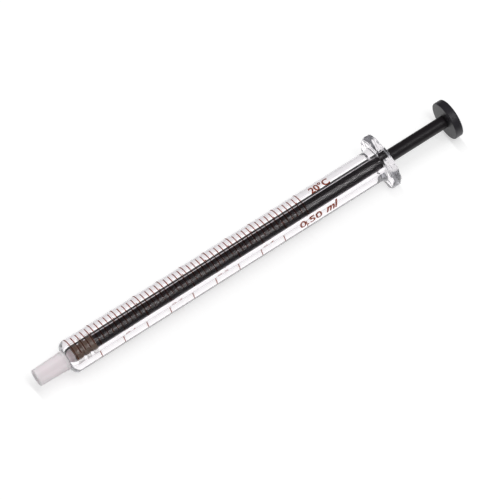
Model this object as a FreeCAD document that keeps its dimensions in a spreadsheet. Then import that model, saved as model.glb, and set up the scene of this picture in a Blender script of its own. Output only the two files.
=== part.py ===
import FreeCAD, Part
import os
import Sketcher

# A 0.5 ml glass syringe with a slip luer tip, in millimetres.
# The axis runs along +X from the tip's front face, which is the origin, to the thumb button.
# Z is up: the syringe lies on one of the two flats of its finger flange.

doc = FreeCAD.newDocument("glass_syringe")

# Driving dimensions: alias, value, meaning
DIMENSIONS = [
    ("luer_small_diameter", 3.93, "cone across its front face"),
    ("luer_taper", 0.06, "growth of the cone's diameter per unit of length"),
    ("cone_length", 6.9, "front face to the collar"),
    ("cone_edge_chamfer", 0.2, "chamfer round the front face"),
    ("channel_diameter", 1.2, "channel through the tip"),
    ("collar_length", 0.7, "collar between the cone and the glass"),
    ("collar_overhang", 0.62, "collar's reach past the bore wall"),
    ("spigot_length", 1.7, "part of the tip that is held in the bore"),
    ("bore_diameter", 3.26, "0.50 ml over 60 mm of scale"),
    ("barrel_diameter", 7.7, "outside of the glass tube"),
    ("barrel_length", 84.0, "glass front to the back of the flange"),
    ("shoulder_radius", 1.4, "fire-polished front edge"),
    ("mouth_radius", 0.5, "fire-polished bore edge at the flange"),
    ("wing_reach", 2.7, "flange wing's height above the tube"),
    ("flat_height", 0.75, "flange flat's height above the tube"),
    ("flange_thickness", 2.4, "flange along the axis"),
    ("flange_rim_radius", 0.8, "rounding of the wings' rim"),
    ("flat_edge_radius", 0.2, "rounding round each flat"),
    ("neck_length", 1.6, "swelling of the tube ahead of the flange"),
    ("neck_step", 0.35, "from the top of the swelling to the flat"),
    ("neck_blend_radius", 4.0, "blend of the swelling into the tube"),
    ("seal_gap", 0.05, "seal to spigot at the zero mark"),
    ("seal_clearance", 0.02, "land to bore wall, radial"),
    ("seal_length", 5.3, "front face to rear face"),
    ("seal_edge_chamfer", 0.15, "chamfer of the front and rear edges"),
    ("first_land_length", 1.6, "front face to the first groove"),
    ("groove_width", 0.6, "groove between two lands"),
    ("groove_depth", 0.2, "groove below the lands"),
    ("groove_pitch", 1.75, "first groove to the second"),
    ("snap_head_diameter", 1.9, "head of the rod inside the seal"),
    ("snap_head_length", 1.0, "head along the axis"),
    ("snap_neck_diameter", 1.3, "neck between head and shoulder"),
    ("snap_neck_length", 1.2, "head to the rod's shoulder"),
    ("snap_chamfer", 0.2, "lead-in of the head"),
    ("snap_clearance", 0.03, "head and neck to the seal, all round"),
    ("rod_clearance", 0.155, "rod to bore wall, radial"),
    ("rod_length", 92.8, "shoulder behind the seal to the button"),
    ("rod_edge_chamfer", 0.15, "chamfer of the rod's shoulder"),
    ("tail_diameter", 2.0, "rod's tail, held in the button"),
    ("tail_length", 1.2, "depth of the tail in the button"),
    ("button_diameter", 9.1, "thumb button"),
    ("button_thickness", 2.0, "thumb button along the axis"),
    ("button_front_radius", 0.2, "rounding towards the flange"),
    ("button_back_radius", 0.35, "rounding of the thumb face"),
]

sizes = doc.addObject("Spreadsheet::Sheet", "Sizes")
for row, (alias, value, meaning) in enumerate(DIMENSIONS, start=1):
    sizes.set(f"A{row}", meaning)
    sizes.set(f"B{row}", str(value))
    sizes.setAlias(f"B{row}", alias)
doc.recompute()

# Two lengths closer than this are the same
NEAR = 1e-4

# Places along the axis, which start at the tip's front face, and radii
AXIS = "0"
CONE_END = "Sizes.cone_length"
GLASS_FRONT = f"({CONE_END} + Sizes.collar_length)"
ZERO_MARK = f"({GLASS_FRONT} + Sizes.spigot_length)"
FLANGE_BACK = f"({GLASS_FRONT} + Sizes.barrel_length)"
FLANGE_FRONT = f"({FLANGE_BACK} - Sizes.flange_thickness)"
NECK_START = f"({FLANGE_FRONT} - Sizes.neck_length)"
SEAL_FRONT = f"({ZERO_MARK} + Sizes.seal_gap)"
SEAL_BACK = f"({SEAL_FRONT} + Sizes.seal_length)"
ROD_SHOULDER = f"({SEAL_BACK} + Sizes.snap_clearance)"
SNAP_BACK = f"({ROD_SHOULDER} - Sizes.snap_neck_length)"
SNAP_FRONT = f"({SNAP_BACK} - Sizes.snap_head_length)"
BUTTON_FRONT = f"({ROD_SHOULDER} + Sizes.rod_length)"
BUTTON_BACK = f"({BUTTON_FRONT} + Sizes.button_thickness)"
TAIL_END = f"({BUTTON_FRONT} + Sizes.tail_length)"

CHANNEL_R = "Sizes.channel_diameter / 2"
LUER_R = "Sizes.luer_small_diameter / 2"
CONE_END_R = f"({LUER_R} + Sizes.luer_taper * Sizes.cone_length / 2)"
BORE_R = "Sizes.bore_diameter / 2"
COLLAR_R = f"({BORE_R} + Sizes.collar_overhang)"
BARREL_R = "Sizes.barrel_diameter / 2"
WING_R = f"({BARREL_R} + Sizes.wing_reach)"
FLAT_Z = f"({BARREL_R} + Sizes.flat_height)"
NECK_R = f"({FLAT_Z} - Sizes.neck_step)"
LAND_R = f"({BORE_R} - Sizes.seal_clearance)"
GROOVE_R = f"({LAND_R} - Sizes.groove_depth)"
ROD_R = f"({BORE_R} - Sizes.rod_clearance)"
SNAP_R = "Sizes.snap_head_diameter / 2"
SNAP_NECK_R = "Sizes.snap_neck_diameter / 2"
TAIL_R = "Sizes.tail_diameter / 2"
BUTTON_R = "Sizes.button_diameter / 2"


def origin_plane(body, role):
    """One of the body's own origin planes."""
    return [item for item in body.Origin.OriginFeatures if item.Role == role][0]


def outline(body, name, role, corners):
    """Closed outline of straight sides on an origin plane of the body.

    Each corner is a pair of expressions, one for each of the sketch's axes."""
    sketch = body.newObject("Sketcher::SketchObject", name)
    sketch.AttachmentSupport = (origin_plane(body, role), "")
    sketch.MapMode = "FlatFace"
    points = [FreeCAD.Vector(sketch.evalExpression(across), sketch.evalExpression(up), 0)
              for across, up in corners]
    for start, end in zip(points, points[1:] + points[:1]):
        sketch.addGeometry(Part.LineSegment(start, end), False)
    for side in range(len(points)):
        following = (side + 1) % len(points)
        sketch.addConstraint(Sketcher.Constraint("Coincident", side, 2, following, 1))
    for side, (across, up) in enumerate(corners):
        place_corner(sketch, side, "DistanceX", across, points[side].x)
        place_corner(sketch, side, "DistanceY", up, points[side].y)
    return sketch


def place_corner(sketch, side, kind, expression, value):
    """Holds the start of one side on an axis, or at a distance bound to the sheet."""
    if expression == AXIS:
        axis = -2 if kind == "DistanceX" else -1
        sketch.addConstraint(Sketcher.Constraint("PointOnObject", side, 1, axis))
    else:
        index = sketch.addConstraint(Sketcher.Constraint(kind, -1, 1, side, 1, value))
        sketch.setExpression(f"Constraints[{index}]", expression)


def turned(name, corners):
    """Body of revolution about the syringe's axis, from its half section."""
    body = doc.addObject("PartDesign::Body", name)
    body.Label = name
    section = outline(body, name + "_section", "XZ_Plane", corners)
    turn = body.newObject("PartDesign::Revolution", name + "_turn")
    turn.Profile = section
    turn.ReferenceAxis = (section, ["H_Axis"])
    turn.Angle = 360
    doc.recompute()
    return body


def dress(body, kind, name, edges, size):
    """Fillet or chamfer of one size on edges of the body's last feature."""
    base = body.Tip
    feature = body.newObject("PartDesign::" + kind, name)
    feature.Base = (base, edges)
    feature.setExpression("Radius" if kind == "Fillet" else "Size", size)
    doc.recompute()


def ring(body, kind, name, place, radius, size):
    """Fillet or chamfer on the round edge at one place and radius."""
    place = body.evalExpression(place)
    radius = body.evalExpression(radius)
    edges = []
    for number, edge in enumerate(body.Tip.Shape.Edges, start=1):
        level = edge.BoundBox.XLength < NEAR and abs(edge.BoundBox.XMin - place) < NEAR
        if level and isinstance(edge.Curve, Part.Circle) and abs(edge.Curve.Radius - radius) < NEAR:
            edges.append(f"Edge{number}")
    dress(body, kind, name, edges, size)


# Barrel: one piece of glass, its flange pressed from the tube's end
def make_barrel():
    body = turned("barrel", [
        (GLASS_FRONT, BORE_R),
        (GLASS_FRONT, BARREL_R),
        (NECK_START, BARREL_R),
        (FLANGE_FRONT, NECK_R),
        (FLANGE_FRONT, WING_R),
        (FLANGE_BACK, WING_R),
        (FLANGE_BACK, BORE_R),
    ])
    ring(body, "Fillet", "shoulder", GLASS_FRONT, BARREL_R, "Sizes.shoulder_radius")
    ring(body, "Fillet", "neck_blend", NECK_START, BARREL_R, "Sizes.neck_blend_radius")
    ring(body, "Fillet", "rim_front", FLANGE_FRONT, WING_R, "Sizes.flange_rim_radius")
    ring(body, "Fillet", "rim_back", FLANGE_BACK, WING_R, "Sizes.flange_rim_radius")
    ring(body, "Fillet", "mouth", FLANGE_BACK, BORE_R, "Sizes.mouth_radius")

    # The two flats are cut from the disc, the tube passes under them
    side = f"2 * {WING_R}"
    top = outline(body, "flat_outline", "YZ_Plane", [
        (f"-{side}", FLAT_Z), (side, FLAT_Z), (side, side), (f"-{side}", side)])
    flat = body.newObject("PartDesign::Pocket", "flat_top")
    flat.Profile = top
    flat.Type = "ThroughAll"
    flat.Reversed = True
    doc.recompute()
    flats = body.newObject("PartDesign::Mirrored", "flat_pair")
    flats.Originals = [flat]
    flats.MirrorPlane = (origin_plane(body, "XY_Plane"), [""])
    body.Tip = flats
    doc.recompute()

    height = body.evalExpression(FLAT_Z)
    edges = []
    for number, edge in enumerate(body.Tip.Shape.Edges, start=1):
        box = edge.BoundBox
        if box.ZLength < NEAR and abs(abs(box.ZMin) - height) < NEAR:
            edges.append(f"Edge{number}")
    dress(body, "Fillet", "flat_edges", edges, "Sizes.flat_edge_radius")
    return body


# Luer tip: one moulding, a 6 percent cone outside and a spigot pressed into the bore
def make_luer_tip():
    body = turned("luer_tip", [
        (AXIS, CHANNEL_R),
        (AXIS, LUER_R),
        (CONE_END, CONE_END_R),
        (CONE_END, COLLAR_R),
        (GLASS_FRONT, COLLAR_R),
        (GLASS_FRONT, BORE_R),
        (ZERO_MARK, BORE_R),
        (ZERO_MARK, CHANNEL_R),
    ])
    ring(body, "Chamfer", "cone_edge", AXIS, LUER_R, "Sizes.cone_edge_chamfer")
    return body


# Piston seal: lands and grooves turned outside, a snap socket for the rod inside
def make_piston_seal():
    neck_hole = f"({SNAP_NECK_R} + Sizes.snap_clearance)"
    head_hole = f"({SNAP_R} + Sizes.snap_clearance)"
    head_hole_back = f"({SNAP_BACK} + Sizes.snap_clearance)"
    head_hole_front = f"({SNAP_FRONT} - Sizes.snap_clearance)"
    body = turned("piston_seal", [
        (SEAL_FRONT, AXIS),
        (SEAL_FRONT, LAND_R),
        (SEAL_BACK, LAND_R),
        (SEAL_BACK, neck_hole),
        (head_hole_back, neck_hole),
        (head_hole_back, head_hole),
        (head_hole_front, head_hole),
        (head_hole_front, AXIS),
    ])
    ring(body, "Chamfer", "front_edge", SEAL_FRONT, LAND_R, "Sizes.seal_edge_chamfer")
    ring(body, "Chamfer", "back_edge", SEAL_BACK, LAND_R, "Sizes.seal_edge_chamfer")

    front = f"({SEAL_FRONT} + Sizes.first_land_length)"
    back = f"({front} + Sizes.groove_width)"
    section = outline(body, "groove_section", "XZ_Plane", [
        (front, GROOVE_R), (back, GROOVE_R), (back, BORE_R), (front, BORE_R)])
    groove = body.newObject("PartDesign::Groove", "groove")
    groove.Profile = section
    groove.ReferenceAxis = (section, ["H_Axis"])
    groove.Angle = 360
    doc.recompute()
    grooves = body.newObject("PartDesign::LinearPattern", "grooves")
    grooves.Originals = [groove]
    grooves.Direction = (section, ["H_Axis"])
    grooves.setExpression("Length", "Sizes.groove_pitch")
    grooves.Occurrences = 2
    body.Tip = grooves
    doc.recompute()
    return body


# Plunger rod: a round bar with a snap head in front and a tail behind
def make_plunger_rod():
    body = turned("plunger_rod", [
        (SNAP_FRONT, AXIS),
        (SNAP_FRONT, SNAP_R),
        (SNAP_BACK, SNAP_R),
        (SNAP_BACK, SNAP_NECK_R),
        (ROD_SHOULDER, SNAP_NECK_R),
        (ROD_SHOULDER, ROD_R),
        (BUTTON_FRONT, ROD_R),
        (BUTTON_FRONT, TAIL_R),
        (TAIL_END, TAIL_R),
        (TAIL_END, AXIS),
    ])
    ring(body, "Chamfer", "snap_lead", SNAP_FRONT, SNAP_R, "Sizes.snap_chamfer")
    ring(body, "Chamfer", "rod_edge", ROD_SHOULDER, ROD_R, "Sizes.rod_edge_chamfer")
    return body


# Thumb button: a flat disc with a blind hole that is pressed on the rod's tail
def make_thumb_button():
    body = turned("thumb_button", [
        (BUTTON_FRONT, TAIL_R),
        (BUTTON_FRONT, BUTTON_R),
        (BUTTON_BACK, BUTTON_R),
        (BUTTON_BACK, AXIS),
        (TAIL_END, AXIS),
        (TAIL_END, TAIL_R),
    ])
    ring(body, "Fillet", "front_rim", BUTTON_FRONT, BUTTON_R, "Sizes.button_front_radius")
    ring(body, "Fillet", "back_rim", BUTTON_BACK, BUTTON_R, "Sizes.button_back_radius")
    return body


bodies = [make_barrel(), make_luer_tip(), make_piston_seal(), make_plunger_rod(), make_thumb_button()]
doc.recompute()

for item in doc.Objects:
    if "Invalid" in item.State or "Error" in item.State:
        raise RuntimeError(f"{item.Label} failed: {item.State}")
for body in bodies:
    if body.Shape.isNull() or not body.Shape.isValid() or len(body.Shape.Solids) != 1:
        raise RuntimeError(f"{body.Label} has no sound solid")

os.makedirs("parts", exist_ok=True)
for body in bodies:
    body.Shape.exportStep(f"parts/{body.Label}.step")
    box = body.Shape.BoundBox
    print(f"{body.Label}: {body.Shape.Volume:.2f} mm3, x {box.XMin:.2f} to {box.XMax:.2f}, "
          f"across {box.YLength:.2f} by {box.ZLength:.2f}")
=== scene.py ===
import bmesh
import bpy
import numpy as np
from mathutils import Matrix, Vector


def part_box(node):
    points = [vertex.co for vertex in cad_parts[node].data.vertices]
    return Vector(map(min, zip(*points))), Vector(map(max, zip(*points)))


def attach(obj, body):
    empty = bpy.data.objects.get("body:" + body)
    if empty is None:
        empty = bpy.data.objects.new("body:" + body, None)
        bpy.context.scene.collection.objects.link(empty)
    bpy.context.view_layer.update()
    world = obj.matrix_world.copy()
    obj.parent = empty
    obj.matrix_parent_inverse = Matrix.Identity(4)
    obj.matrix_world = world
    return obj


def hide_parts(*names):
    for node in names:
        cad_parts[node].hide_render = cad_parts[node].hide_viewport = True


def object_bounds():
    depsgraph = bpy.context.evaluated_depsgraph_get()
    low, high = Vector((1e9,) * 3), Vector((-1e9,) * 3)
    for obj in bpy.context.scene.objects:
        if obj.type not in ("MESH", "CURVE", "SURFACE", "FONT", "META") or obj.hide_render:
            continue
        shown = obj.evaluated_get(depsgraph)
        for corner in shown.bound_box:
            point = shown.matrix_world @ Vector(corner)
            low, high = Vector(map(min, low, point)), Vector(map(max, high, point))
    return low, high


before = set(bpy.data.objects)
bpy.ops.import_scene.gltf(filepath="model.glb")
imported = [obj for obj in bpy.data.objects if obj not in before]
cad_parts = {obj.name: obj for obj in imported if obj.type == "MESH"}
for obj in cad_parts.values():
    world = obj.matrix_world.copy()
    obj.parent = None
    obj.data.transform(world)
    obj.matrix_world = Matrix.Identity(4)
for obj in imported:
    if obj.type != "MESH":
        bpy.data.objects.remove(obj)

cadBox = [list(corner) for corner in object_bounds()]
mm = 0.001        # lengths of the syringe are in millimetres until they go into a mesh


# General shape tools

def roundedPath(corners, steps=10, hold=0.04):
    # straight runs joined by arcs: each corner is (x, r, arc radius), and every tangent
    # point gets a neighbour `hold` away on the straight, so that long runs shade flat
    corners = np.array(corners, float)
    places, radii = corners[:, :2], corners[:, 2]
    path = [places[0]]
    for before, corner, after, radius in zip(places, places[1:], places[2:], radii[1:]):
        inward = (before - corner) / np.linalg.norm(before - corner)
        onward = (after - corner) / np.linalg.norm(after - corner)
        half = np.arccos(np.clip(np.dot(inward, onward), -1, 1)) / 2
        if radius == 0 or half > np.pi / 2 - 1e-4:
            path.append(corner)
            continue
        reach = radius / np.tan(half)
        middle = (inward + onward) / np.linalg.norm(inward + onward)
        centre = corner + middle * radius / np.sin(half)
        sweep = np.linspace(-1, 1, steps + 1)[:, None] * (np.pi / 2 - half)
        side = (onward - inward) / np.linalg.norm(onward - inward)
        arc = centre + radius * (np.sin(sweep) * side - np.cos(sweep) * middle)
        path += [corner + inward * (reach + hold), *arc, corner + onward * (reach + hold)]
    path.append(places[-1])
    return np.array(path)


def turnedPoints(place, radius, angle):
    # the point at (x, r) and angle a stands at (x, -r sin a, r cos a): from the top, towards
    # the reader
    return np.stack([place, -radius * np.sin(angle), radius * np.cos(angle)], axis=-1)


def gridFaces(rows, columns, closedRows=False):
    # quads of a grid of rows and columns: every row is joined end to end, and so are the
    # first and the last row where it is closed
    row = np.arange(rows if closedRows else rows - 1)[:, None]
    column = np.arange(columns)[None, :]
    nextRow, nextColumn = (row + 1) % rows, (column + 1) % columns
    quads = [row * columns + column, row * columns + nextColumn,
             nextRow * columns + nextColumn, nextRow * columns + column]
    return np.stack(quads, axis=-1).reshape(-1, 4)


def meshPiece(name, points, faces, material, body, smooth=True):
    # millimetre points and index faces become a closed piece that rides on a body
    mesh = bpy.data.meshes.new(name)
    mesh.from_pydata((points.reshape(-1, 3) * mm).tolist(), [], faces.tolist())
    work = bmesh.new()
    work.from_mesh(mesh)
    bmesh.ops.remove_doubles(work, verts=work.verts, dist=1e-8)
    bmesh.ops.dissolve_degenerate(work, edges=work.edges, dist=1e-9)
    bmesh.ops.recalc_face_normals(work, faces=work.faces)
    work.to_mesh(mesh)
    work.free()
    mesh.polygons.foreach_set("use_smooth", np.full(len(mesh.polygons), smooth))
    mesh.materials.append(material)
    return placePiece(name, mesh, body)


def placePiece(name, mesh, body):
    # the mesh holds its own place, and the object stays at the origin
    piece = bpy.data.objects.new(name, mesh)
    bpy.context.collection.objects.link(piece)
    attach(piece, body)
    return piece


def spunPiece(name, path, material, body, columns, closed=False):
    # a half section turned about the axis
    angle = np.linspace(0, 2 * np.pi, columns, endpoint=False)
    points = turnedPoints(path[:, :1] + 0 * angle, path[:, 1:], angle)
    faces = gridFaces(len(path), columns, closedRows=closed)
    return meshPiece(name, points, faces, material, body)


# Shader tools: `tree` is a material's, the world's or a group's node tree

def setInputs(tree, node, inputs):
    # inputs by name or number: a socket is linked, anything else is its value
    for name, value in inputs.items():
        if isinstance(value, bpy.types.NodeSocket):
            tree.links.new(value, node.inputs[name])
        else:
            node.inputs[name].default_value = value


def addNode(tree, kind, inputs=None, **settings):
    node = tree.nodes.new("ShaderNode" + kind)
    for name, value in settings.items():
        setattr(node, name, value)
    setInputs(tree, node, inputs or {})
    return node


def maths(tree, operation, *values):
    # each value is a number or a socket
    return addNode(tree, "Math", dict(enumerate(values)), operation=operation).outputs["Value"]


def ranged(tree, value, start, end, low=0.0, high=1.0):
    # runs from low to high while the value runs from start to end
    inputs = {"Value": value, "From Min": start, "From Max": end, "To Min": low, "To Max": high}
    return addNode(tree, "MapRange", inputs).outputs["Result"]


def blendNumbers(tree, share, first, second):
    # the first where the share is 0, the second where it is 1
    return addNode(tree, "Mix", {"Factor": share, "A": first, "B": second}).outputs["Result"]


def blendColours(tree, share, first, second):
    inputs = {0: share, 6: (*first, 1), 7: (*second, 1)}        # 6 and 7 are the colour sockets
    return addNode(tree, "Mix", inputs, data_type="RGBA").outputs[2]


def blendShaders(tree, share, first, second):
    return addNode(tree, "MixShader", {0: share, 1: first, 2: second}).outputs["Shader"]


def glow(tree, strength):
    return addNode(tree, "Emission", {"Strength": strength}).outputs["Emission"]


def seenRays(tree, *labels):
    # 1 on the named kinds of ray, 0 on all others
    path = addNode(tree, "LightPath")
    seen = path.outputs[labels[0]]
    for label in labels[1:]:
        seen = maths(tree, "MAXIMUM", seen, path.outputs[label])
    return seen


def showShader(tree, shader):
    tree.links.new(shader, tree.nodes["Material Output"].inputs["Surface"])


def newMaterial(name):
    material = bpy.data.materials.new(name)
    material.use_nodes = True
    tree = material.node_tree
    tree.nodes.clear()
    addNode(tree, "OutputMaterial")
    surface = addNode(tree, "BsdfPrincipled")
    showShader(tree, surface.outputs["BSDF"])
    return material, tree, surface, addNode(tree, "TexCoord").outputs["Object"]


def newGroup(name, inputs, outputs):
    group = bpy.data.node_groups.new(name, "ShaderNodeTree")
    for label, kind, value in inputs:
        socket = group.interface.new_socket(label, in_out="INPUT", socket_type="NodeSocket" + kind)
        if value is not None:
            socket.default_value = value
    for label in outputs:
        group.interface.new_socket(label, in_out="OUTPUT", socket_type="NodeSocketFloat")
    return group, group.nodes.new("NodeGroupInput").outputs, group.nodes.new("NodeGroupOutput")


def makeFineGrain():
    # satin grain: fine noise, drawn out along the axis, gives a height and a roughness
    group, given, result = newGroup("fineGrain", [
        ("Coordinates", "Vector", None), ("Per Metre", "Float", 20000.0),
        ("Along", "Float", 1.0), ("Roughness", "Float", 0.4), ("Spread", "Float", 0.1),
    ], ["Height", "Roughness"])
    stretch = addNode(group, "CombineXYZ", {"X": given["Along"], "Y": 1.0, "Z": 1.0})
    drawn = addNode(group, "VectorMath", {
        0: given["Coordinates"], 1: stretch.outputs["Vector"]}, operation="MULTIPLY")
    noise = addNode(group, "TexNoise", {
        "Vector": drawn.outputs["Vector"], "Scale": given["Per Metre"], "Detail": 4.0}).outputs["Fac"]
    centred = maths(group, "SUBTRACT", noise, 0.5)
    varied = maths(group, "MULTIPLY_ADD", centred, given["Spread"], given["Roughness"])
    setInputs(group, result, {"Height": noise, "Roughness": varied})
    return group


def makeHandling():
    # handling marks: large soft patches broken up by small specks, as a 0 to 1 mask
    group, given, result = newGroup("handling", [
        ("Coordinates", "Vector", None), ("Patch Per Metre", "Float", 300.0),
        ("Speck Per Metre", "Float", 6000.0), ("Amount", "Float", 0.3),
    ], ["Mask"])
    masks = []
    # the noise's levels between which each kind of mark comes up
    for label, faint, full in (("Patch Per Metre", 0.45, 0.7), ("Speck Per Metre", 0.5, 0.68)):
        noise = addNode(group, "TexNoise", {
            "Vector": given["Coordinates"], "Scale": given[label], "Detail": 3.0})
        masks.append(ranged(group, noise.outputs["Fac"], faint, full))
    both = maths(group, "MULTIPLY", *masks)
    setInputs(group, result, {"Mask": maths(group, "MULTIPLY", both, given["Amount"])})
    return group


fineGrain, handling = makeFineGrain(), makeHandling()


def handledColour(tree, coordinates, look):
    # the piece's colour, with its handled colour where the marks are
    marks = addNode(tree, "Group", {
        "Coordinates": coordinates, "Patch Per Metre": look["patchPerMetre"],
        "Speck Per Metre": look["speckPerMetre"], "Amount": look["handledShare"],
    }, node_tree=handling)
    return blendColours(tree, marks.outputs["Mask"], look["colour"], look["handled"])


def addFinish(tree, surface, coordinates, look):
    # grain in the roughness and the relief, and the finish's plain values
    grain = addNode(tree, "Group", {
        "Coordinates": coordinates, "Per Metre": look["grainPerMetre"], "Along": look["grainAlong"],
        "Roughness": look["roughness"], "Spread": look["roughnessSpread"],
    }, node_tree=fineGrain)
    relief = addNode(tree, "Bump", {
        "Strength": 1.0, "Distance": look["relief"] * mm, "Height": grain.outputs["Height"]})
    setInputs(tree, surface, {
        "Roughness": grain.outputs["Roughness"], "Normal": relief.outputs["Normal"], **look["plain"]})


def makeSatinMaterial(name, look):
    material, tree, surface, coordinates = newMaterial(name)
    setInputs(tree, surface, {"Base Color": handledColour(tree, coordinates, look)})
    addFinish(tree, surface, coordinates, look)
    return material


# Places that several pieces share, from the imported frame

barrelLow, barrelHigh = [np.array(corner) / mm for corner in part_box("barrel")]
tipHigh = np.array(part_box("luer_tip")[1]) / mm
sealLow, sealHigh = [np.array(corner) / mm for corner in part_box("piston_seal")]
rodLow, rodHigh = [np.array(corner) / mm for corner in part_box("plunger_rod")]
buttonLow, buttonHigh = [np.array(corner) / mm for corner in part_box("thumb_button")]
glassFront, glassBack = barrelLow[0], barrelHigh[0]
zeroMark = tipHigh[0]

glass = {
    "tubeRadius": 3.85,
    "boreRadius": 1.63,
    "frontLip": 0.08,          # rounding where the front face meets the bore
    "shoulderRadius": 1.4,
    "flangeThickness": 2.4,
    "neckLength": 1.3,
    "neckRadius": 4.18,
    "neckBlend": 2.5,
    "creaseRadius": 0.12,
    "faceStart": 0.13,         # the flange's front face starts this far outside the neck
    "rimRadius": 0.8,          # at the wings
    "flatRimRadius": 0.2,      # at the flats
    "cornerSharpness": 34.0,
    "mouthRadius": 0.5,
    "mouthLead": 0.05,         # flat ring round the rounded mouth
    "seam": 3.0,               # where the section closes in the bore, behind the front face
    "columns": 288,
    "shoulderSteps": 16,
    "mouthSteps": 12,
    "rimRings": 15,
    "frontRings": 14,
    "backRings": 20,
    "waveDepth": 0.17,         # of the flange's pressed faces
    "rimWave": 0.07,           # and of its rim
    "neckFade": (0.1, 0.8),    # the waves start this far outside the neck, and grow over this width
    "boreFade": (0.8, 1.5),    # and on the back face, the same outside the bore
    # wave counts across y and z in radians per mm, and phases, of the front and the back face
    "frontWaves": ((1.9, 0.5, 0.4), (0.8, -1.7, 2.1), (2.6, 1.6, 4.0)),
    "backWaves": ((1.5, -0.9, 1.3), (0.6, 2.1, 5.1), (2.4, -1.9, 3.3)),
    "tint": (0.986, 0.962, 0.984),
    "ior": 1.474,
    "bloom": 0.42,             # a faint soft sheen over the mirror-clear surface
    "bloomRoughness": 0.16,
    "bloomIor": 1.45,
    "shadowFace": (0.88, 0.87, 0.88),      # how much light passes square to the surface
    "shadowEdge": (0.52, 0.51, 0.52),      # and along it, where glass turns light away
    "shadowBlend": 0.35,       # how early the edge's level sets in
    "trappedAfter": 2.5,       # inner reflections, after which a path ends on a painted glow of grey patches
    # the two greys of that painted glow
    "paintedGlowDark": (0.05, 0.05, 0.055),
    "paintedGlowPale": (0.46, 0.46, 0.49),
    "trappedPerMetre": 350.0,
    "trappedLevels": (0.38, 0.66),         # of the noise that leads from dark to pale
}


def makeGlassMaterial():
    material, tree, surface, coordinates = newMaterial("clearGlass")
    setInputs(tree, surface, {
        "Base Color": (*glass["tint"], 1), "Roughness": 0.0, "IOR": glass["ior"],
        "Transmission Weight": 1.0, "Coat Weight": glass["bloom"],
        "Coat Roughness": glass["bloomRoughness"], "Coat IOR": glass["bloomIor"]})
    # lamps shine through the glass instead of being stopped by it
    slope = addNode(tree, "LayerWeight", {"Blend": glass["shadowBlend"]})
    shade = blendColours(tree, slope.outputs["Facing"], glass["shadowFace"], glass["shadowEdge"])
    clear = addNode(tree, "BsdfTransparent", {"Color": shade}).outputs["BSDF"]
    lampRays = seenRays(tree, "Is Shadow Ray", "Is Diffuse Ray")
    lit = blendShaders(tree, lampRays, surface.outputs["BSDF"], clear)
    # light that keeps turning inside the thick flange would be lost, and leave black patches; such
    # paths end on a painted glow instead, dark and pale grey in noise patches
    depth = addNode(tree, "LightPath").outputs["Glossy Depth"]
    often = maths(tree, "GREATER_THAN", depth, glass["trappedAfter"])
    noise = addNode(tree, "TexNoise", {"Vector": coordinates, "Scale": glass["trappedPerMetre"]})
    level = ranged(tree, noise.outputs["Fac"], *glass["trappedLevels"])
    grey = blendColours(tree, level, glass["paintedGlowDark"], glass["paintedGlowPale"])
    paintedGlow = addNode(tree, "Emission", {"Color": grey}).outputs["Emission"]
    showShader(tree, blendShaders(tree, often, lit, paintedGlow))
    return material


def flangeOutline(angle):
    # distance from the axis to the flange's rim: a disc cut by two flats, with the
    # corners eased by a power mean of the disc's radius and the flat's distance
    wing, flat, power = barrelHigh[1], barrelHigh[2], glass["cornerSharpness"]
    toFlat = flat / np.maximum(np.abs(np.cos(angle)), 1e-6)
    return (wing ** -power + toFlat ** -power) ** (-1 / power)


def waveSheet(y, z, waves):
    # the mean of sine sheets over y and z
    return sum(np.sin(a * y + b * z + c) for a, b, c in waves) / len(waves)


def pressedWaves(points, flangeFront):
    # the pressed faces are not quite flat: wave sheets move the front face and the back
    # face along the axis, and the rim a little inwards, fading out at the neck and at the bore
    x, y, z = points[..., 0], points[..., 1], points[..., 2]
    depth = np.clip((x - flangeFront) / glass["flangeThickness"], 0, 1)
    radius = np.hypot(y, z)
    neckGap, neckWidth = glass["neckFade"]
    boreGap, boreWidth = glass["boreFade"]
    outwards = np.clip((radius - glass["neckRadius"] - neckGap) / neckWidth, 0, 1)
    fromBore = np.clip((radius - glass["boreRadius"] - boreGap) / boreWidth, 0, 1)
    fade = outwards + (1 - outwards) * depth * fromBore
    fade = np.where(x < flangeFront - 1e-6, 0, fade)
    front, back = waveSheet(y, z, glass["frontWaves"]), waveSheet(y, z, glass["backWaves"])
    shift = glass["waveDepth"] * fade * ((1 - depth) * front + depth * back)
    draw = 1 - glass["rimWave"] * outwards * (1 + front * back) / 2 / radius
    return np.stack([x + shift, y * draw, z * draw], axis=-1)


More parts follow.
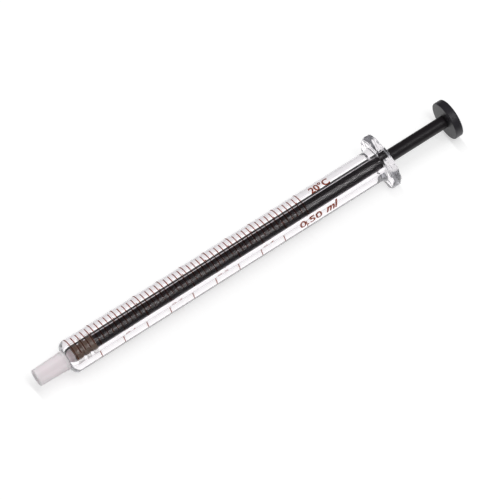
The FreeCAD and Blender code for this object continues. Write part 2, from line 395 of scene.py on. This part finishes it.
def makeBarrel(material):
    # one closed skin: front face, shoulder, tube, neck, flange and back along the bore;
    # every ring is turned, and the flange's rings are drawn out to the flange's outline
    tube, bore = glass["tubeRadius"], glass["boreRadius"]
    seam = glassFront + glass["seam"]
    flangeFront = glassBack - glass["flangeThickness"]
    angle = np.linspace(0, 2 * np.pi, glass["columns"], endpoint=False)
    outline = flangeOutline(angle)
    wing, flat = barrelHigh[1], barrelHigh[2]
    share = np.clip((outline - flat) / (wing - flat), 0, 1)
    rim = glass["flatRimRadius"] + (glass["rimRadius"] - glass["flatRimRadius"]) * share

    ahead = roundedPath([
        (seam, bore, 0),
        (glassFront, bore, glass["frontLip"]),
        (glassFront, tube, glass["shoulderRadius"]),
        (flangeFront - glass["neckLength"], tube, glass["neckBlend"]),
        (flangeFront, glass["neckRadius"], glass["creaseRadius"]),
        (flangeFront, glass["neckRadius"] + glass["faceStart"], 0),
    ], steps=glass["shoulderSteps"])
    behind = roundedPath([
        (glassBack, bore + glass["mouthRadius"] + glass["mouthLead"], 0),
        (glassBack, bore, glass["mouthRadius"]),
        (seam, bore, 0),
    ], steps=glass["mouthSteps"])[:-1]
    turn = np.linspace(0, np.pi / 2, glass["rimRings"])[:, None]
    frontShare = np.linspace(0, 1, glass["frontRings"])[1:-1, None]
    backShare = np.linspace(0, 1, glass["backRings"])[1:-1, None]
    frontRadius = ahead[-1, 1] + (outline - rim - ahead[-1, 1]) * frontShare
    backRadius = outline - rim + (behind[0, 1] - outline + rim) * backShare
    radius = np.concatenate([
        ahead[:, 1:] + 0 * angle, frontRadius,
        outline - rim * (1 - np.sin(turn)), outline - rim * (1 - np.cos(turn)),
        backRadius, behind[:, 1:] + 0 * angle])
    place = np.concatenate([
        ahead[:, :1] + 0 * angle, flangeFront + 0 * frontRadius,
        flangeFront + rim * (1 - np.cos(turn)), glassBack - rim * (1 - np.sin(turn)),
        glassBack + 0 * backRadius, behind[:, :1] + 0 * angle])
    points = pressedWaves(turnedPoints(place, radius, angle), flangeFront)
    faces = gridFaces(len(points), len(angle), closedRows=True)
    piece = meshPiece("glassBarrel", points, faces, material, "barrel")
    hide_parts("barrel")


makeBarrel(makeGlassMaterial())
print("glass barrel done")


luer = {
    "taper": 0.06,             # on the diameter
    "coneLength": 6.9,
    "smallRadius": 1.965,      # at the front face
    "channelRadius": 0.6,
    "channelEdge": 0.1,
    "frontEdge": 0.16,
    "coneFoot": 0.04,
    "collarFront": 0.035,
    "collarBack": 0.08,
    "spigotRoot": 0.04,
    "spigotEdge": 0.1,
    "channelEnd": 0.05,
    "seatGap": 0.004,          # keeps the plastic's skin off the glass it is pressed into
    "channelShade": 0.9,               # painted shade: how dark the colour is made where the channel would show through the wall, against the rest
    "channelShadeWidth": 0.09,         # and how far it reaches from the middle, as a share of the slope
    "colour": (0.875, 0.81, 0.835),
    "handled": (0.83, 0.755, 0.775),
    "patchPerMetre": 250.0,
    "speckPerMetre": 3000.0,
    "handledShare": 0.6,
    "grainPerMetre": 9000.0,
    "grainAlong": 1.0,         # below 1 the grain is drawn out along the axis, above 1 across it
    "roughness": 0.55,
    "roughnessSpread": 0.08,
    "relief": 0.004,
    # the shader's own inputs that are the same all over
    "plain": {"IOR": 1.49, "Specular IOR Level": 0.2, "Subsurface Weight": 1.0,
              "Subsurface Scale": 0.0014, "Subsurface Radius": (1.0, 0.92, 0.95)},
}


def makeLuerMaterial():
    material, tree, surface, coordinates = newMaterial("naturalPlastic")
    addFinish(tree, surface, coordinates, luer)
    # painted shade: the colour is darkened where the surface faces the eye, a soft darker line along
    # the middle for the channel that shows through the wall
    facing = addNode(tree, "LayerWeight").outputs["Facing"]
    channelShade = ranged(tree, facing, 0.0, luer["channelShadeWidth"], low=luer["channelShade"])
    shaded = addNode(tree, "VectorMath", {
        0: handledColour(tree, coordinates, luer), "Scale": channelShade}, operation="SCALE")
    setInputs(tree, surface, {"Base Color": shaded.outputs["Vector"]})
    return material


def makeLuerTip(material):
    # a closed ring section: cone, collar, spigot and the channel back to the front
    cone = luer["smallRadius"] + luer["taper"] * luer["coneLength"] / 2
    collar, channel = tipHigh[1], luer["channelRadius"]
    spigot, seat = glass["boreRadius"] - luer["seatGap"], glassFront - luer["seatGap"]
    path = roundedPath([
        (zeroMark / 2, channel, 0),
        (0, channel, luer["channelEdge"]),
        (0, luer["smallRadius"], luer["frontEdge"]),
        (luer["coneLength"], cone, luer["coneFoot"]),
        (luer["coneLength"], collar, luer["collarFront"]),
        (seat, collar, luer["collarBack"]),
        (seat, spigot, luer["spigotRoot"]),
        (zeroMark, spigot, luer["spigotEdge"]),
        (zeroMark, channel, luer["channelEnd"]),
        (zeroMark / 2, channel, 0),
    ], steps=8, hold=0.02)[:-1]
    piece = spunPiece("luerTip", path, material, "barrel", columns=240, closed=True)
    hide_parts("luer_tip")


makeLuerTip(makeLuerMaterial())
print("luer tip done")


rod = {
    "edge": 0.12,              # at the seal's end of the bar
    "headRadius": 0.95,
    "headLength": 1.0,
    "headEdge": 0.15,
    "neckRadius": 0.65,
    "neckEdge": 0.05,
    "shoulderGap": 0.03,       # between the seal's rear face and the bar
    "rearEdge": 0.04,
    "tailRadius": 1.0,
    "tailLength": 1.2,
    "tailEdge": 0.03,
    "colour": (0.0135, 0.011, 0.013),
    "handled": (0.03, 0.028, 0.026),
    "patchPerMetre": 200.0,
    "speckPerMetre": 5000.0,
    "handledShare": 0.8,
    "grainPerMetre": 12000.0,
    "grainAlong": 0.02,
    "roughness": 0.42,
    "roughnessSpread": 0.1,
    "relief": 0.003,
    "plain": {"IOR": 1.5, "Specular IOR Level": 0.38},
}

seal = {
    "contact": 0.004,          # the ridges on the lands press into the bore's wall by this much
    "hollow": 0.006,           # and between the ridges the land stays clear of it by this much
    "ridgePitch": 0.08,
    "headRoom": 0.03,          # round the rod's snap head
    "lands": 3,
    "firstLand": 1.6,
    "grooveWidth": 0.6,
    "grooveDepth": 0.2,
    "groovePitch": 1.75,
    "landEdge": 0.12,          # left plain at both ends of a land
    "edge": 0.05,
    "neckHole": 0.68,          # round the rod's neck
    "colour": (0.195, 0.145, 0.113),
    "handled": (0.135, 0.097, 0.078),
    "patchPerMetre": 500.0,
    "speckPerMetre": 7000.0,
    "handledShare": 0.7,
    "grainPerMetre": 4000.0,
    "grainAlong": 8.0,
    "roughness": 0.6,
    "roughnessSpread": 0.1,
    "relief": 0.01,
    "plain": {"IOR": 1.38, "Specular IOR Level": 0.3, "Subsurface Weight": 0.15,
              "Subsurface Scale": 0.0003},
}


def makeSeal(material):
    # front face, lands parted by grooves, rear face and the socket for the rod's head;
    # along a land the radius swings to and fro between touching and clear, as turning leaves it
    front, back, bore = sealLow[0], sealHigh[0], glass["boreRadius"]
    touching, clear, edge = bore + seal["contact"], bore - seal["hollow"], seal["edge"]
    floor = bore - seal["grooveDepth"]
    corners, start = [(front, 0, 0)], front
    for number in range(seal["lands"]):
        isLast = number == seal["lands"] - 1
        end = back if isLast else front + seal["firstLand"] + number * seal["groovePitch"]
        ridges = np.arange(start + seal["landEdge"], end - seal["landEdge"], seal["ridgePitch"] / 2)
        corners += [(start, clear, edge)]
        corners += [(x, (touching, clear)[k % 2], 0) for k, x in enumerate(ridges)]
        corners += [(end, clear, edge)]
        if not isLast:
            start = end + seal["grooveWidth"]
            corners += [(end, floor, edge), (start, floor, edge)]
    room, neck = seal["headRoom"], seal["neckHole"]
    headFront, headBack = rodLow[0] - room, rodLow[0] + rod["headLength"] + room
    head = rod["headRadius"] + room
    corners += [(back, neck, edge), (headBack, neck, 0), (headBack, head, 0), (headFront, head, 0),
                (headFront, 0, 0)]
    path = roundedPath(corners, steps=6, hold=0.01)
    piece = spunPiece("pistonSeal", path, material, "piston", columns=128)
    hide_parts("piston_seal")


makeSeal(makeSatinMaterial("filledPtfe", seal))
print("piston seal done")


def makeRod(material):
    # snap head, neck, the long bar and the tail inside the button
    radius, headFront, buttonFront = rodHigh[1], rodLow[0], buttonLow[0]
    headBack, shoulder = headFront + rod["headLength"], sealHigh[0] + rod["shoulderGap"]
    tailEnd = buttonFront + rod["tailLength"]
    path = roundedPath([
        (headFront, 0, 0),
        (headFront, rod["headRadius"], rod["headEdge"]),
        (headBack, rod["headRadius"], rod["neckEdge"]),
        (headBack, rod["neckRadius"], rod["neckEdge"]),
        (shoulder, rod["neckRadius"], rod["neckEdge"]),
        (shoulder, radius, rod["edge"]),
        (buttonFront, radius, rod["rearEdge"]),
        (buttonFront, rod["tailRadius"], rod["tailEdge"]),
        (tailEnd, rod["tailRadius"], rod["tailEdge"]),
        (tailEnd, 0, 0),
    ], steps=6, hold=0.02)
    piece = spunPiece("plungerRod", path, material, "plunger", columns=144)
    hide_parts("plunger_rod")


makeRod(makeSatinMaterial("blackRod", rod))
print("plunger rod done")


button = {
    "holeEdge": 0.02,
    "frontEdge": 0.2,
    "backEdge": 0.35,
    "colour": (0.0215, 0.0195, 0.0245),
    "handled": (0.052, 0.05, 0.055),
    "patchPerMetre": 400.0,
    "speckPerMetre": 6000.0,
    "handledShare": 0.7,
    "grainPerMetre": 7000.0,
    "grainAlong": 1.0,
    "roughness": 0.42,
    "roughnessSpread": 0.12,
    "relief": 0.008,
    "plain": {"IOR": 1.5},
}


def makeButton(material):
    # a flat disc with a blind hole over the rod's tail
    front, back, radius = buttonLow[0], buttonHigh[0], buttonHigh[1]
    hole, holeEnd = rod["tailRadius"], buttonLow[0] + rod["tailLength"]
    path = roundedPath([
        (holeEnd, 0, 0),
        (holeEnd, hole, 0),
        (front, hole, button["holeEdge"]),
        (front, radius, button["frontEdge"]),
        (back, radius, button["backEdge"]),
        (back, 0, 0),
    ], steps=8, hold=0.03)
    piece = spunPiece("thumbButton", path, material, "plunger", columns=192)
    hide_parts("thumb_button")


makeButton(makeSatinMaterial("blackPlastic", button))
print("thumb button done")


ink = {
    "stain": (0.66, 0.32, 0.24),   # what shines through one skin of the enamel
    "sheer": 0.75,             # share of the enamel that light shines through
    "lift": 0.006,             # above the glass
    "thickness": 0.012,
    "scaleLength": 60.0,
    "divisions": 50,
    "longEvery": 5,            # every fifth line is long
    "lineWidth": 0.24,
    "shortArc": (-32, 39),     # degrees from the top, towards the reader
    "longArc": (-95, 52),
    "backArc": (165, 203),     # the numbered side
    "step": 3.0,               # degrees from one cross section of a line to the next
    "fontSize": 1.38,          # of a figure that is 1 mm high
    "curveSteps": 6,
    "strip": 0.2,              # width of the strips that letters are cut into
    "below": 0.5,              # the strips reach from this far below a letter
    "above": 0.6,              # to this far above it
    "colour": (0.050, 0.014, 0.008),
    "handled": (0.090, 0.030, 0.018),
    "patchPerMetre": 1500.0,
    "speckPerMetre": 9000.0,
    "handledShare": 1.0,
    "grainPerMetre": 15000.0,
    "grainAlong": 1.0,
    "roughness": 0.55,
    "roughnessSpread": 0.1,
    "relief": 0.002,
    "plain": {},
}


def makeInkMaterial():
    material, tree, surface, coordinates = newMaterial("bakedInk")
    setInputs(tree, surface, {"Base Color": handledColour(tree, coordinates, ink)})
    addFinish(tree, surface, coordinates, ink)
    # thin enamel: part of the light shines through it and comes out red-brown
    through = addNode(tree, "BsdfTransparent", {"Color": (*ink["stain"], 1)}).outputs["BSDF"]
    showShader(tree, blendShaders(tree, ink["sheer"], surface.outputs["BSDF"], through))
    return material


def arcBands(places, arc):
    # bands round the tube: a rectangle of the line's width and the ink's thickness,
    # carried round the arc at every place, and closed at both ends
    steps = int(abs(arc[1] - arc[0]) / ink["step"]) + 1
    angle = np.radians(np.linspace(arc[0], arc[1], steps))[None, :, None]
    x = np.array(places)[:, None, None] + np.array([-1, 1, 1, -1]) * ink["lineWidth"] / 2 + 0 * angle
    inner = glass["tubeRadius"] + ink["lift"]
    radius = inner + np.array([0, 0, 1, 1]) * ink["thickness"] + 0 * x
    points = turnedPoints(x, radius, angle + 0 * x).reshape(-1, 3)
    band = 4 * steps        # points in one band
    ends = np.array([[0, 1, 2, 3], [band - 4, band - 3, band - 2, band - 1]])
    one = np.concatenate([gridFaces(steps, 4), ends])
    return points, (one + np.arange(len(places))[:, None, None] * band).reshape(-1, 4)


def makeScale(material):
    number = np.arange(ink["divisions"] + 1)
    places = zeroMark + ink["scaleLength"] / ink["divisions"] * number
    isLong = number % ink["longEvery"] == 0
    points, faces, count = [], [], 0
    for chosen, arc in ((~isLong, "shortArc"), (isLong, "longArc"), (isLong, "backArc")):
        linePoints, lineFaces = arcBands(places[chosen], ink[arc])
        points.append(linePoints)
        faces.append(lineFaces + count)
        count += len(linePoints)
    meshPiece("scaleLines", np.concatenate(points), np.concatenate(faces), material,
              "barrel", smooth=False)


# each line of letters: its height, its width against a plain font's, its start along the
# axis, the angle of its middle from the top, its slant, and how much its strokes are thickened
lettering = [
    {"name": "capacityFigures", "words": "0.50", "height": 1.65, "width": 1.5, "start": 66.35,
     "angle": 73, "slant": 0.0, "weight": 0.03},
    {"name": "capacityUnit", "words": "ml", "height": 1.9, "width": 1.08, "start": 73.2,
     "angle": 71, "slant": 0.3, "weight": 0.09},
    {"name": "temperature", "words": "20°C", "height": 2.0, "width": 0.86, "start": 72.3,
     "angle": -14, "slant": 0.0, "weight": 0.09},
]
# and the figures beside every second long line, on the side that lies away from the reader
scaleFigures = {"count": 5, "height": 1.7, "width": 1.0, "gap": 0.5, "angle": 150, "weight": 0.03}
for tenth in range(1, scaleFigures["count"] + 1):
    line = zeroMark + ink["scaleLength"] * tenth / scaleFigures["count"]
    lettering.append({
        "name": "scaleFigure%d" % tenth, "words": "0.%d" % tenth, "height": scaleFigures["height"],
        "width": scaleFigures["width"], "start": line + scaleFigures["gap"],
        "angle": scaleFigures["angle"], "slant": 0.0, "weight": scaleFigures["weight"]})


def wrapText(name, words, height, width, start, angle, slant, weight, material):
    # flat letters are cut into strips, then their height runs round the tube: a point at
    # height h turns back from the middle's angle by h over the tube's radius
    data = bpy.data.curves.new(name, "FONT")
    data.body = words
    data.size = height * ink["fontSize"]
    data.shear = slant
    data.offset = weight
    data.extrude = ink["thickness"] / 2
    data.resolution_u = ink["curveSteps"]
    flat = bpy.data.objects.new(name, data)
    bpy.context.collection.objects.link(flat)
    bpy.context.view_layer.update()
    mesh = bpy.data.meshes.new_from_object(flat.evaluated_get(bpy.context.evaluated_depsgraph_get()))
    bpy.data.objects.remove(flat)
    work = bmesh.new()
    work.from_mesh(mesh)
    bmesh.ops.remove_doubles(work, verts=work.verts, dist=1e-5)
    for level in np.arange(-ink["below"], height + ink["above"], ink["strip"]):
        bmesh.ops.bisect_plane(work, geom=work.verts[:] + work.edges[:] + work.faces[:],
                               plane_co=(0, level, 0), plane_no=(0, 1, 0))
    work.to_mesh(mesh)
    work.free()
    points = np.empty(len(mesh.vertices) * 3)
    mesh.vertices.foreach_get("co", points)
    points = points.reshape(-1, 3)
    radius = glass["tubeRadius"] + ink["lift"] + ink["thickness"] / 2 + points[:, 2]
    turn = np.radians(angle) - (points[:, 1] - height / 2) / glass["tubeRadius"]
    placed = turnedPoints(start + width * points[:, 0], radius, turn)
    mesh.vertices.foreach_set("co", (placed * mm).ravel())
    mesh.materials.clear()
    mesh.materials.append(material)
    mesh.update()
    placePiece(name, mesh, "barrel")


inkMaterial = makeInkMaterial()
makeScale(inkMaterial)
for letters in lettering:
    wrapText(**letters, material=inkMaterial)
print("scale and lettering done")


studio = {
    "floorSize": 3.0,          # the room's lengths are in metres
    "floorColour": (0.8, 0.8, 0.8),
    "floorRoughness": 0.9,
    "floorShare": 0.27,        # share of a plain glow in the floor that the eye and gloss see
    "floorGlow": 1.97,
    "floorThrough": 0.20,      # what glass sees of the floor on top of that
    "poolMiddle": 0.006,       # gloss and glass see a pool of the table along this line
    "poolEdge": (0.016, 0.028),   # and it fades out between these distances from it
    "farEdge": (0.22, 0.6),    # between these distances the table fades into the backdrop
    "ambient": 0.32,           # light that comes from all round
    "backdrop": 1.0,           # what the eye sees there
    "roomDark": 0.06,          # what gloss sees above and beyond the table, also inside the glass
    "roomThrough": 0.22,       # and what shows there straight through the glass
}

lamps = {
    # side: degrees off the top towards the reader, lean: degrees towards the button;
    # only the tent shows as a highlight
    "key": {"side": 3.0, "lean": 6.0, "distance": 1.1, "along": 0.06, "across": 1.5,
            "power": 6.7, "shows": False},
    "tent": {"side": 31.0, "lean": 14.0, "distance": 1.1, "along": 0.36, "across": 0.5,
             "power": 2.2, "shows": True},
}


def roomLevel(tree):
    # the dark room, or its paler level where it shows through glass without a reflection
    path = addNode(tree, "LightPath")
    direct = maths(tree, "LESS_THAN", path.outputs["Glossy Depth"], 1.0)
    straight = maths(tree, "MULTIPLY", direct, path.outputs["Is Transmission Ray"])
    return blendNumbers(tree, straight, studio["roomDark"], studio["roomThrough"])


def makeFloorMaterial():
    material, tree, surface, coordinates = newMaterial("paleFloor")
    setInputs(tree, surface, {
        "Base Color": (*studio["floorColour"], 1), "Roughness": studio["floorRoughness"],
        "Specular IOR Level": 0.0})
    # the floor is seen as white, and keeps the shadow that falls on it
    watched = seenRays(tree, "Is Camera Ray", "Is Glossy Ray")
    share = maths(tree, "MULTIPLY", watched, studio["floorShare"])
    seen = blendShaders(tree, share, surface.outputs["BSDF"], glow(tree, studio["floorGlow"]))
    through = maths(tree, "MULTIPLY", seenRays(tree, "Is Transmission Ray"), studio["floorThrough"])
    table = addNode(tree, "AddShader", {0: seen, 1: glow(tree, through)}).outputs["Shader"]
    # gloss and glass see only a pool of the table beside the axis, and the dark room beyond it
    across = addNode(tree, "SeparateXYZ", {"Vector": coordinates}).outputs["Y"]
    aside = maths(tree, "ABSOLUTE", maths(tree, "SUBTRACT", across, studio["poolMiddle"]))
    beyond = ranged(tree, aside, *studio["poolEdge"])
    reflected = maths(tree, "MULTIPLY", beyond, seenRays(tree, "Is Glossy Ray", "Is Transmission Ray"))
    pooled = blendShaders(tree, reflected, table, glow(tree, roomLevel(tree)))
    # far off, the eye sees the table turn to the backdrop's white, so that no horizon shows
    away = addNode(tree, "VectorMath", {0: coordinates}, operation="LENGTH").outputs["Value"]
    far = ranged(tree, away, *studio["farEdge"])
    farSeen = maths(tree, "MULTIPLY", far, seenRays(tree, "Is Camera Ray"))
    showShader(tree, blendShaders(tree, farSeen, pooled, glow(tree, studio["backdrop"])))
    return material


def makeFloor(material):
    # a square under the flange's lower flat, which the syringe lies on
    half, level = studio["floorSize"] / 2, barrelLow[2] * mm
    corners = [(-half, -half, level), (half, -half, level), (half, half, level), (-half, half, level)]
    mesh = bpy.data.meshes.new("floor")
    mesh.from_pydata(corners, [], [(0, 1, 2, 3)])
    mesh.materials.append(material)
    floor = bpy.data.objects.new("floor", mesh)
    bpy.context.collection.objects.link(floor)


def makeWorld():
    # the eye sees a white backdrop, gloss and glass see the dark room above the table,
    # and everything else is lit evenly from all round
    world = bpy.data.worlds.new("studio")
    bpy.context.scene.world = world
    world.use_nodes = True
    tree = world.node_tree
    mirrored = seenRays(tree, "Is Glossy Ray", "Is Transmission Ray")
    unseen = blendNumbers(tree, mirrored, studio["ambient"], roomLevel(tree))
    shown = blendNumbers(tree, seenRays(tree, "Is Camera Ray"), unseen, studio["backdrop"])
    setInputs(tree, tree.nodes["Background"], {"Color": (1, 1, 1, 1), "Strength": shown})


def makeLamp(name, side, lean, distance, along, across, power, shows):
    # a sheet of light that looks at the syringe's middle, its edges along and across the axis
    lamp = bpy.data.lights.new(name, "AREA")
    lamp.shape = "RECTANGLE"
    lamp.size, lamp.size_y = along, across
    lamp.energy = power
    side, lean = np.radians(side), np.radians(lean)
    back = Vector((np.sin(lean), -np.cos(lean) * np.sin(side), np.cos(lean) * np.cos(side)))
    sideways = Vector((0, np.cos(side), np.sin(side)))
    lengthways = sideways.cross(back)
    placed = bpy.data.objects.new(name, lamp)
    placed.location = Vector(((cadBox[0][0] + cadBox[1][0]) / 2, 0, 0)) + back * distance
    placed.rotation_mode = "QUATERNION"
    placed.rotation_quaternion = Matrix((lengthways, sideways, back)).transposed().to_quaternion()
    placed.visible_camera = placed.visible_transmission = False
    placed.visible_glossy = shows
    # mirror-clear glass would catch the lamp's hard-edged image as grain; satin and sheen still show it
    lamp.cycles.use_multiple_importance_sampling = False
    bpy.context.collection.objects.link(placed)


photoView = {
    "target": (0.05480, -0.00098, -0.00058),   # the point that the picture's middle shows, in metres
    "distance": 0.897,
    "lens": 298.3,
    "tilt": 14.0,              # towards the tip, off square to the axis
    "side": 31.0,              # off the top, towards the reader
    "roll": 32.2,              # the axis climbs by this in the picture
    "clip": (0.01, 20.0),
}


def makeCamera():
    # the axis lies across the picture, then the picture is turned by the roll
    tilt, side, roll = [np.radians(photoView[key]) for key in ("tilt", "side", "roll")]
    back = Vector((-np.sin(tilt), -np.cos(tilt) * np.sin(side), np.cos(tilt) * np.cos(side)))
    across = Vector((0, np.cos(side), np.sin(side)))
    along = across.cross(back)
    right = along * np.cos(roll) - across * np.sin(roll)
    up = back.cross(right)
    data = bpy.data.cameras.new("photoCamera")
    data.lens = photoView["lens"]
    data.clip_start, data.clip_end = photoView["clip"]
    camera = bpy.data.objects.new("photoCamera", data)
    camera.rotation_mode = "QUATERNION"
    camera.rotation_quaternion = Matrix((right, up, back)).transposed().to_quaternion()
    camera.location = Vector(photoView["target"]) + back * photoView["distance"]
    bpy.context.collection.objects.link(camera)
    bpy.context.scene.camera = camera


makeFloor(makeFloorMaterial())
makeWorld()
for name, lamp in lamps.items():
    makeLamp(name, **lamp)
makeCamera()
bpy.context.scene.view_settings.view_transform = "Standard"
print("studio done")
